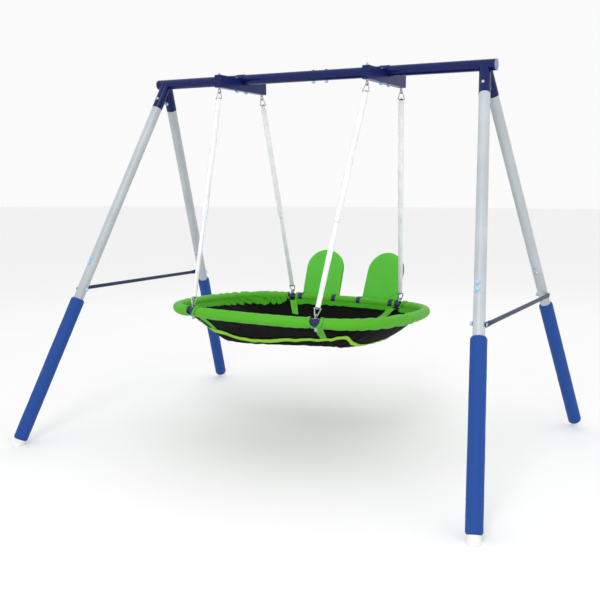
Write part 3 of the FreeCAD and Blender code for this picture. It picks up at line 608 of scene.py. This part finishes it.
def bowl_point(distance, inset, lift):
    """Point on the bowl's inner face, lifted. Past the sides the insets close in on the middle."""
    point, out = rim_at(distance)
    height = bowl_height(inset) + bowl_sag(distance, inset) + lift
    if inset <= BOWL_REACH:
        flat = point - out * inset
    else:
        edge = point - out * BOWL_REACH
        flat = edge * (1 - (inset - BOWL_REACH) / (1 - BOWL_REACH))
    return seat_point((flat.x, flat.y, height))


def make_bowl():
    """The bowl's cloth in one piece, with its finer rows on the sides."""
    stations = 264
    insets = [BOWL_START + BOWL_SIDE * row / 40 for row in range(41)]
    insets += [BOWL_REACH + BOWL_MIDDLE * share for share in (0.1, 0.22, 0.36, 0.52, 0.70, 0.86, 0.97)]
    travels = [RIM_LENGTH * k / stations for k in range(stations)]
    rows = []
    for inset in insets:
        rows.append([bowl_point(travel, inset, -BOWL_THICKNESS / 2) for travel in travels])
    flat = lambda i, j: tuple(rows[i][j % stations].xy)
    piece = grid_piece("seat_bowl_cloth", rows, MATERIALS["black_fabric"], flat, close_columns=True)
    close_middle(piece, len(rows) - 1, stations)
    thicken(piece, BOWL_THICKNESS * 0.8)
    finish_piece(piece, "seat", "black_fabric", "seat_bowl")
    return piece


def close_middle(piece, last_row, stations):
    """Fill the small hole inside one row of points, in a bowl's floor or a cushion's face."""
    mesh = bmesh.new()
    mesh.from_mesh(piece.data)
    mesh.verts.ensure_lookup_table()
    ring = [mesh.verts[last_row * stations + k] for k in range(stations)]
    face = mesh.faces.new(ring)
    bmesh.ops.poke(mesh, faces=[face])
    bmesh.ops.recalc_face_normals(mesh, faces=mesh.faces)
    for face in mesh.faces:
        face.smooth = True
    mesh.to_mesh(piece.data)
    mesh.free()


# Rim covers -----------------------------------------------------------------

def pleat_phase(place, travel):
    """How many pleats come before a place. Their spacing wanders along the rim."""
    return place / PLEAT_SPACING + 1.3 * wrinkle((travel, 0, 0), 0.16, 12.0)


def cover_gather(distance):
    """How strongly the cover is gathered: most on the back left, least on the front."""
    share = (distance % RIM_LENGTH) / RIM_LENGTH
    back_left = 1.2 * math.exp(-((share - 0.41) / 0.09) ** 2)
    right_end = 0.45 * math.exp(-((share - 0.97) / 0.08) ** 2)
    return 0.16 + back_left + right_end


def rim_cover(name, begin, end):
    """Green cloth round the padded rim. Its lower edge hangs a little and is scalloped."""
    run = end - begin
    steps = int(run / COVER_STEP)
    sides = 36
    most = PLEAT_RISE_AT_CLIPS if name == "rim_cover_back" else PLEAT_RISE
    rows = []
    for step in range(steps + 1):
        travel = begin + run * step / steps
        point, out = rim_at(travel)
        near_end = min(travel - begin, end - travel)
        tuck = 0.0042 * math.exp(-(near_end / 0.007) ** 2)
        hang = 0.0030 * smooth_step(near_end / 0.10)
        gather = cover_gather(travel) * smooth_step(near_end / 0.05)
        row = []
        for side in range(sides):
            angle = 2 * math.pi * side / sides
            lean = travel + 0.034 * math.cos(angle + 0.6)
            place = (lean, math.sin(angle) * 0.012, math.cos(angle) * 0.012)
            ridge = abs(math.sin(math.pi * pleat_phase(lean, travel))) ** 0.7 - 0.62
            crumple = 0.0022 * wrinkle(place, 0.022, 2.0)
            crease = 0.0010 * wrinkle(place, 0.010, 5.0)
            fold = gather * (PLEAT_HEIGHT * (ridge + 0.24) + crumple + crease)
            slack = 0.0005 * wrinkle((travel, angle * 0.05, 0), 0.12, 7.0)
            below = max(0.0, -math.sin(angle + 0.5))
            wave = max(0.0, ridge + 0.62) * gather
            scallop = hang * below ** 4 + 0.008 * below ** 3 * wave * smooth_step(near_end / 0.06)
            radius = COVER_RADIUS - COVER_INSET + max(-PLEAT_DIP, min(fold, most)) + slack - tuck
            across = radius * math.cos(angle)
            height = radius * math.sin(angle) - scallop
            flat = point + out * across
            row.append(seat_point((flat.x, flat.y, height)))
        rows.append(row)
    close_ends(rows, 0.72)
    uv_of = lambda i, j: (begin + run * i / steps, j / sides * COVER_GIRTH)
    sleeve = grid_piece(name + "_sleeve", rows, MATERIALS["green_fabric"], uv_of, close_columns=True)
    piece = join_pieces(name + "_cloth", [sleeve, cover_skirt(begin, end)])
    finish_piece(piece, "seat", "green_fabric", name)


def cover_skirt(begin, end):
    """The cover's inner flap, sewn to the bowl and drawn in the darker green of painted shade. Its edge
    is scalloped where it is gathered.
    """
    run = end - begin
    steps = int(run / SKIRT_STEP)
    columns = 10
    rows = []
    for step in range(steps + 1):
        travel = begin + run * step / steps
        point, out = rim_at(travel)
        gather = 1.25 * cover_gather(travel)
        near_end = min(travel - begin, end - travel)
        fade = smooth_step(near_end / 0.03)
        top = []
        for column in range(columns):
            share = column / (columns - 1)
            ridge = abs(math.sin(math.pi * pleat_phase(travel + 0.045 * share, travel))) ** 0.7
            scallop = 0.016 * ridge + 0.006 * wrinkle((travel, 0, 0), 0.03, 4.0)
            edge = SKIRT_WIDTH + fade * 0.004 + gather * fade * scallop
            inset = SKIRT_START + share * (edge - SKIRT_START)
            high = -0.006 - 0.010 * share
            low = bowl_height(inset) + bowl_sag(travel, inset) + 0.0036
            blend = smooth_step(share * 1.25)
            puff = gather * 0.0085 * (ridge - 0.5) * math.sin(math.pi * min(1.0, share * 0.8 + 0.1))
            height = (1 - blend) * high + blend * low + puff
            flat = point - out * inset
            top.append(Vector((flat.x, flat.y, height)))
        under = [vert - Vector((0, 0, CLOTH_THICKNESS)) for vert in reversed(top)]
        rows.append([seat_point(vert) for vert in top + under])
    uv_of = lambda i, j: (begin + run * i / steps, j * 0.005)
    # The flap takes the darker green as painted shade
    return grid_piece("skirt", rows, MATERIALS["painted_shade_green"], uv_of, close_columns=True)


def make_covers():
    """One cover between each two clamps, anticlockwise from the back right clamp."""
    clamps = [rim_distance_of(side, face) for side, face in ((1, 1), (-1, 1), (-1, -1), (1, -1))]
    clamps.append(clamps[0] + RIM_LENGTH)
    for run_name, begin, end in zip(("back", "left", "front", "right"), clamps, clamps[1:]):
        rim_cover("rim_cover_" + run_name, begin + CLAMP_HALF, end - CLAMP_HALF)


# Straps ---------------------------------------------------------------------

def strap_path(travel, position):
    """Point on a strap that wraps the rim: from outside below, over the top and into the bowl.

    position runs in metres along the strap, with zero on top of the rim."""
    point, out = rim_at(travel)
    radius = COVER_RADIUS + TAB_STAND
    quarter = radius * math.pi / 2
    if abs(position) <= quarter * 1.25:
        angle = math.pi / 2 + position / radius
        flat = point + out * radius * math.cos(angle)
        return seat_point((flat.x, flat.y, radius * math.sin(angle)))
    over = abs(position) - quarter * 1.25
    angle = math.pi / 2 + 1.25 * math.pi / 2
    if position > 0:
        inset = radius * abs(math.cos(angle)) + 0.002 + over * 0.86
        low = radius * math.sin(angle)
        blend = smooth_step(over / 0.03)
        lift = TAB_STAND + 0.0075 * (1 - smooth_step((inset - 0.060) / 0.025))
        cloth = bowl_height(inset) + bowl_sag(travel, inset) + lift
        height = (1 - blend) * (low - over) + blend * cloth
    else:
        inset = -radius * abs(math.cos(angle)) + over * 0.98
        low = radius * math.sin(angle)
        blend = smooth_step((over - 0.02) / 0.05)
        under = bowl_height(max(inset, 0.03)) + bowl_sag(travel, inset) - BOWL_THICKNESS - 0.0030
        height = (1 - blend) * (low - over * 0.5) + blend * under
    flat = point - out * inset
    return seat_point((flat.x, flat.y, height))


def strap_tab(travel, slant):
    """The two halves of a cloth tab with a slot round the clamp. Its inner end runs aslant."""
    steps = 96
    pieces = []
    for half in (-1, 1):
        rows = []
        for step in range(steps + 1):
            position = -TAB_OUTSIDE + (TAB_INSIDE + TAB_OUTSIDE) * step / steps
            reach = TAB_INSIDE if position > 0 else TAB_OUTSIDE
            near_rim = 1 - smooth_step((abs(position) - 0.030) / 0.045)
            inner = CLAMP_HALF * near_rim
            outer = 0.024 + 0.014 * near_rim - 0.005 * abs(position) / reach
            curl = 0.0008 * wrinkle((position, travel, half), 0.02, 3.0)
            row = []
            for column in range(7):
                across = inner + (outer - inner) * column / 6
                shift = slant * max(0.0, position - 0.035)
                base = strap_path(travel + half * across + shift, position)
                row.append(base + Vector((0, 0, curl * (column / 6))))
            rows.append(row if half > 0 else row[::-1])
        uv_of = lambda i, j: (i / steps * 0.25, half * j / 6 * 0.03)
        pieces.append(grid_piece("tab_half", rows, MATERIALS["green_fabric"], uv_of))
    return pieces


def make_tabs():
    pieces = []
    for face in (-1, 1):
        for side in (-1, 1):
            pieces.extend(strap_tab(rim_distance_of(side, face), 0.5 * side * face))
    tabs = join_pieces("seat_tabs_cloth", pieces)
    thicken(tabs, CLOTH_THICKNESS)
    return finish_piece(tabs, "seat", "green_fabric", "seat_tabs")


# How far the webbing's middle lies inside the rim's axis, in metres, along the rim from the middle
# of the front, where the right is positive
WEB_STATIONS = (
    (-1.000, 0.150), (-0.804, 0.174), (-0.728, 0.171), (-0.596, 0.141), (-0.476, 0.104), (-0.396, 0.145),
    (-0.296, 0.156), (-0.172, 0.186), (-0.052, 0.196), (0.124, 0.174), (0.284, 0.147), (0.374, 0.126),
    (0.455, 0.102), (0.500, 0.093), (0.596, 0.141), (0.728, 0.171), (0.804, 0.174), (1.000, 0.150),
)


def web_inset(distance):
    """The front half is as listed. The back half mirrors it."""
    half = RIM_LENGTH / 2
    along = (distance - 0.75 * RIM_LENGTH + half) % RIM_LENGTH - half
    if abs(along) > half / 2:
        along = math.copysign(half - abs(along), along)
    for (s0, d0), (s1, d1) in zip(WEB_STATIONS, WEB_STATIONS[1:]):
        if along <= s1:
            return d0 + (d1 - d0) * smooth_step((along - s0) / (s1 - s0))
    return WEB_STATIONS[-1][1]


def make_webbing():
    """A flat lime strap round the bowl's underside, hung between the tabs' ends."""
    steps = 420
    width = 2 * WEB_HALF_WIDTH
    rows = []
    for step in range(steps):
        travel = RIM_LENGTH * step / steps
        middle = web_inset(travel)
        row = []
        for column in range(5):
            across = (column / 4 - 0.5) * width
            stand = 0.0045 + 0.0010 * wrinkle((travel, 0, 0), 0.05, 6.0)
            row.append(bowl_point(travel, middle + across, -BOWL_THICKNESS - stand))
        rows.append(row)
    uv_of = lambda i, j: (i / steps * RIM_LENGTH, j / 4 * width)
    piece = grid_piece("seat_webbing_strap", rows, MATERIALS["lime_webbing"], uv_of, close_rows=True)
    thicken(piece, CLOTH_THICKNESS)
    return finish_piece(piece, "seat", "lime_webbing", "seat_webbing")


# Backrests ------------------------------------------------------------------

def backrest_pad(side_name):
    """A slip-on cushion over the tube: flat faces, a gusset edge in a darker green as painted shade, and
    a round top.
    """
    joint = JOINTS["backrest_" + side_name + "_fold"]
    pivot = Vector(joint["pos_m"])
    across = Vector(joint["axis"]).normalized()
    seat_up = SEAT_TURN @ Vector((0, 0, 1))
    up = Matrix.Rotation(PAD_RECLINE, 3, across) @ (seat_up - across * seat_up.dot(across)).normalized()
    back = up.cross(across)
    half = PAD_WIDTH / 2
    spring = PAD_START + PAD_LENGTH - half
    outline = []
    for k in range(25):
        outline.append((half, PAD_START + (spring - PAD_START) * k / 24))
    for k in range(1, 48):
        angle = math.pi * k / 48
        outline.append((half * math.cos(angle), spring + half * math.sin(angle)))
    for k in range(25):
        outline.append((-half, spring - (spring - PAD_START) * k / 24))
    bottom = 30
    for k in range(1, bottom):
        outline.append((-half + 2 * half * k / bottom, PAD_START))
    centre_v = PAD_START + PAD_LENGTH * 0.47
    # Each section is a share of the outline and a depth as a share of half the thickness
    sections = [(0.0, -1.0), (0.30, -1.0), (0.60, -0.99), (0.82, -0.95), (0.93, -0.86)]
    sections += [(0.975, -0.72), (0.995, -0.62), (1.0, -0.45)]
    profile = sections + [(share, -depth) for share, depth in sections[::-1]]
    rows = []
    seed = 3.0 if side_name == "left" else 8.0
    for share, depth in profile:
        share = max(share, 0.02)
        row = []
        for u, v in outline:
            x = u * share
            z = centre_v + (v - centre_v) * share
            place = (x, z, depth * 0.02)
            swell = 0.0010 * wrinkle(place, 0.05, seed) + 0.0006 * wrinkle(place, 0.018, seed)
            pull = 0.0016 * math.exp(-((z - PAD_START) / 0.03) ** 2)
            y = depth * (PAD_THICKNESS / 2 - pull) + swell * (1 if depth < 0 else -1)
            row.append(pivot + across * x + back * y + up * z)
        rows.append(row)
    count = len(outline)
    uv_of = lambda i, j: tuple(part * profile[i][0] for part in outline[j % count])
    name = "backrest_" + side_name
    piece = grid_piece(name + "_cushion", rows, MATERIALS["pad_fabric"], uv_of, close_columns=True)
    # The gusset's faces take the darker green as painted shade on the cushion's sides
    piece.data.materials.append(MATERIALS["painted_shade_green"])
    for polygon in piece.data.polygons:
        if polygon.index // count in GUSSET_ROWS:
            polygon.material_index = 1
    close_middle(piece, len(rows) - 1, count)
    close_middle(piece, 0, count)
    finish_piece(piece, name, "green_fabric", name + "_pad")


# Camera, light and floor ----------------------------------------------------

def make_camera():
    """The camera of the front view, turned to the left and a little down, with a slight roll."""
    yaw = 0.4856
    pitch = -0.160
    roll = 0.0059
    ahead = Vector((-math.sin(yaw) * math.cos(pitch), math.cos(yaw) * math.cos(pitch), math.sin(pitch)))
    right = Vector((math.cos(yaw), math.sin(yaw), 0))
    up = right.cross(ahead)
    tilted_right = right * math.cos(roll) + up * math.sin(roll)
    tilted_up = up * math.cos(roll) - right * math.sin(roll)
    data = bpy.data.cameras.new("camera")
    data.lens = 49.58
    data.shift_x = -0.0667
    data.shift_y = 0.025
    camera = bpy.data.objects.new("camera", data)
    turn = Matrix((tilted_right, tilted_up, -ahead)).transposed().to_4x4()
    camera.matrix_world = Matrix.Translation((2.088, -3.626, 1.310)) @ turn
    bpy.context.collection.objects.link(camera)
    bpy.context.scene.camera = camera


def area_light(name, place, aim, size, power):
    """A round soft light at a place, turned towards its aim."""
    data = bpy.data.lights.new(name, "AREA")
    data.shape = "DISK"
    data.size = size
    data.energy = power
    light = bpy.data.objects.new(name, data)
    light.location = place
    light.rotation_euler = (Vector(aim) - Vector(place)).to_track_quat("-Z", "Y").to_euler()
    bpy.context.collection.objects.link(light)


def make_stage():
    """White world, three soft lights and a pale floor just under the feet."""
    world = bpy.data.worlds.new("studio")
    world.use_nodes = True
    background = world.node_tree.nodes["Background"]
    background.inputs["Color"].default_value = (1, 1, 1, 1)
    background.inputs["Strength"].default_value = 0.96
    bpy.context.scene.world = world
    aim = (0, 0, 0.9)
    area_light("key", (1.5, -4.5, 4.5), aim, 2.0, 85)
    area_light("fill", (4.5, -2.5, 2.5), aim, 3.0, 14)
    area_light("rim", (-2.0, 4.5, 4.0), aim, 3.0, 20)
    bpy.ops.mesh.primitive_circle_add(vertices=96, radius=40, fill_type="NGON", location=(0, 0, -0.0005))
    floor = bpy.context.object
    floor.name = "floor"
    surface = Surface("floor_white", (0.92, 0.92, 0.92, 1), 0.7)
    surface.vary(surface.noise(3.0), 0.99, 1.0)
    floor.data.materials.append(surface.material)
    bpy.context.scene.view_settings.view_transform = "Standard"


def main():
    make_camera()
    make_stage()
    dress_nodes()
    make_foam()
    make_sleeves()
    bowl = make_bowl()
    make_covers()
    tabs = make_tabs()
    webbing = make_webbing()
    for side_name in ("left", "right"):
        backrest_pad(side_name)


main()
